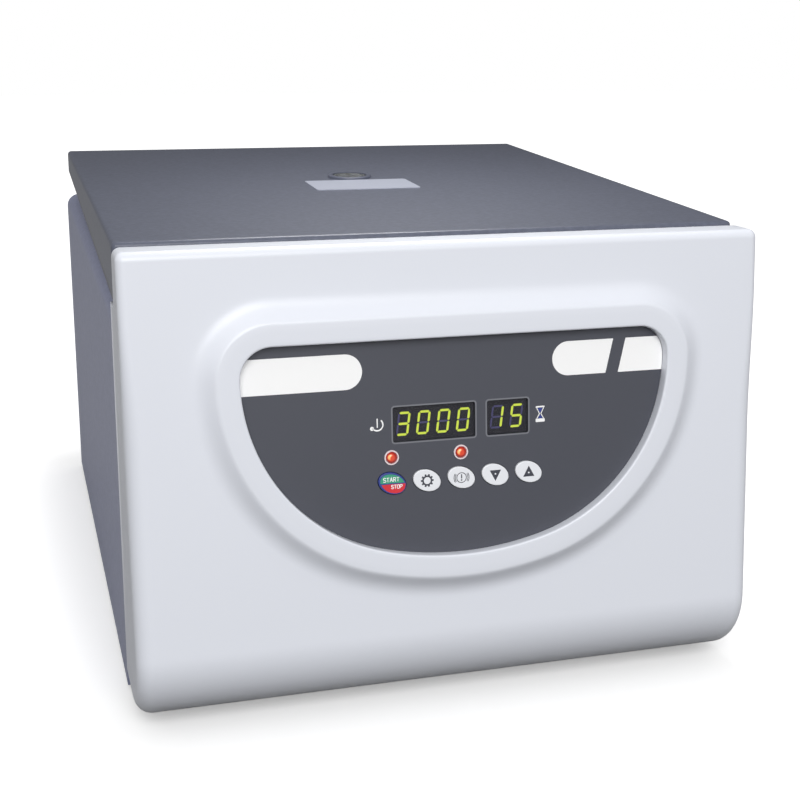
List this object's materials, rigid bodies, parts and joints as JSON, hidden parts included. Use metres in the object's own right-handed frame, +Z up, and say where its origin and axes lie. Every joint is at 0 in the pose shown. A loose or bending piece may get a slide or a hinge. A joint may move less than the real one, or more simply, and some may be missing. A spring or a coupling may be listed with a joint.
{
  "type": "benchtop centrifuge",
  "caption": "Benchtop milk-fat centrifuge: hinged lid with sight port, sloping D-shaped control panel, fixed-angle rotor with tilted tube shields in a round bowl",
  "frame": {"origin": "on the bench plane under the middle of the bounding box", "axes": "+X to the operator's right, +Y to the back, +Z up; the control panel faces -Y"},
  "size_m": [0.402, 0.514, 0.297],
  "materials": {
    "body_paint": "grey hammertone stove enamel",
    "lid_paint": "grey hammertone stove enamel",
    "fascia_plastic": "pale grey moulded ABS, satin",
    "overlay_plastic": "dark grey printed polyester overlay",
    "display_glass": "smoked acrylic window",
    "display_black": "dark display module",
    "circuit_board": "green solder resist over laminate",
    "key_grey": "light grey moulded keycap",
    "key_green": "keycap in two printed colours",
    "lamp_red": "tinted light-emitting diode lens",
    "bezel_white": "white moulded ring",
    "zinc_steel": "zinc plated sheet steel",
    "stainless": "satin stainless sheet",
    "dark_steel": "blackened steel",
    "aluminium": "machined and anodised",
    "brass_shields": "drawn and lacquered",
    "rubber_black": "moulded rubber",
    "gasket_rubber": "extruded sponge rubber",
    "clear_acrylic": "clear polished acrylic",
    "label_grey": "bare light grey polyester plate",
    "black_plastic": "moulded thermoplastic",
    "rocker_black": "moulded thermoplastic"
  },
  "bodies": {
    "housing": {"cabinet": "body_paint", "rear_panel": "body_paint", "base_pan": "zinc_steel", "rear_rail": "zinc_steel", "front_bulkhead": "zinc_steel", "fascia": "fascia_plastic", "panel_overlay": "overlay_plastic", "speed_window": "display_glass", "time_window": "display_glass", "display_modules": "display_black", "control_board": "circuit_board", "key_switches": "black_plastic", "run_lamp": "lamp_red", "alarm_lamp": "lamp_red", "lamp_bezels": "bezel_white", "hinge_bracket_left": "dark_steel", "hinge_bracket_right": "dark_steel", "hinge_pins": "stainless", "latch_body": "dark_steel", "bowl": "stainless", "bowl_gasket": "gasket_rubber", "guard_ring": "dark_steel", "shaft_boot": "rubber_black", "motor_mounts": "rubber_black", "motor_plate": "zinc_steel", "motor_housing": "dark_steel", "motor_bearings": "stainless", "mains_inlet": "black_plastic", "power_switch": "black_plastic", "drive_board": "circuit_board", "feet": "rubber_black", "case_screws": "zinc_steel"},
    "lid": {"lid_shell": "lid_paint", "lid_liner": "stainless", "sight_port": "clear_acrylic", "sight_ring": "aluminium", "lid_label": "label_grey", "lid_striker": "zinc_steel", "hinge_arm_left": "dark_steel", "hinge_arm_right": "dark_steel", "hinge_screws": "zinc_steel"},
    "rotor": {"motor_shaft": "stainless", "rotor_head": "aluminium", "rotor_nut": "stainless", "shield_cushions": "rubber_black", "tube_shield_1": "brass_shields", "tube_shield_2": "brass_shields", "tube_shield_3": "brass_shields", "tube_shield_4": "brass_shields", "tube_shield_5": "brass_shields", "tube_shield_6": "brass_shields", "tube_shield_7": "brass_shields", "tube_shield_8": "brass_shields"},
    "switch_rocker": {"switch_rocker": "rocker_black"},
    "latch_bolt": {"latch_bolt": "stainless"},
    "key_start_stop": {"key_start_stop": "key_green"},
    "key_settings": {"key_settings": "key_grey"},
    "key_alarm": {"key_alarm": "key_grey"},
    "key_down": {"key_down": "key_grey"},
    "key_up": {"key_up": "key_grey"}
  },
  "joints": [
    {"name": "lid_hinge", "type": "hinge", "parent": "housing", "child": "lid", "pos_m": [0, 0.23802, 0.266], "axis": [-1, 0, 0], "range_deg": [0, 80]},
    {"name": "rotor_spin", "type": "hinge", "parent": "housing", "child": "rotor", "pos_m": [0, 0.039, 0.2], "axis": [0, 0, 1], "continuous": true},
    {"name": "rocker_tilt", "type": "hinge", "parent": "housing", "child": "switch_rocker", "pos_m": [-0.10002, 0.24942, 0.055], "axis": [-1, 0, 0], "range_deg": [0, 16]},
    {"name": "bolt_slide", "type": "slide", "parent": "housing", "child": "latch_bolt", "axis": [-1, 0, 0], "range_m": [0, 0.014]},
    {"name": "key_start_stop_press", "type": "slide", "parent": "housing", "child": "key_start_stop", "axis": [0, 0.9909, -0.1343], "range_m": [0, 0.0008], "stiffness_N_per_m": 1500},
    {"name": "key_settings_press", "type": "slide", "parent": "housing", "child": "key_settings", "axis": [0, 0.9909, -0.1343], "range_m": [0, 0.0008], "stiffness_N_per_m": 1500},
    {"name": "key_alarm_press", "type": "slide", "parent": "housing", "child": "key_alarm", "axis": [0, 0.9909, -0.1343], "range_m": [0, 0.0008], "stiffness_N_per_m": 1500},
    {"name": "key_down_press", "type": "slide", "parent": "housing", "child": "key_down", "axis": [0, 0.9909, -0.1343], "range_m": [0, 0.0008], "stiffness_N_per_m": 1500},
    {"name": "key_up_press", "type": "slide", "parent": "housing", "child": "key_up", "axis": [0, 0.9909, -0.1343], "range_m": [0, 0.0008], "stiffness_N_per_m": 1500}
  ]
}
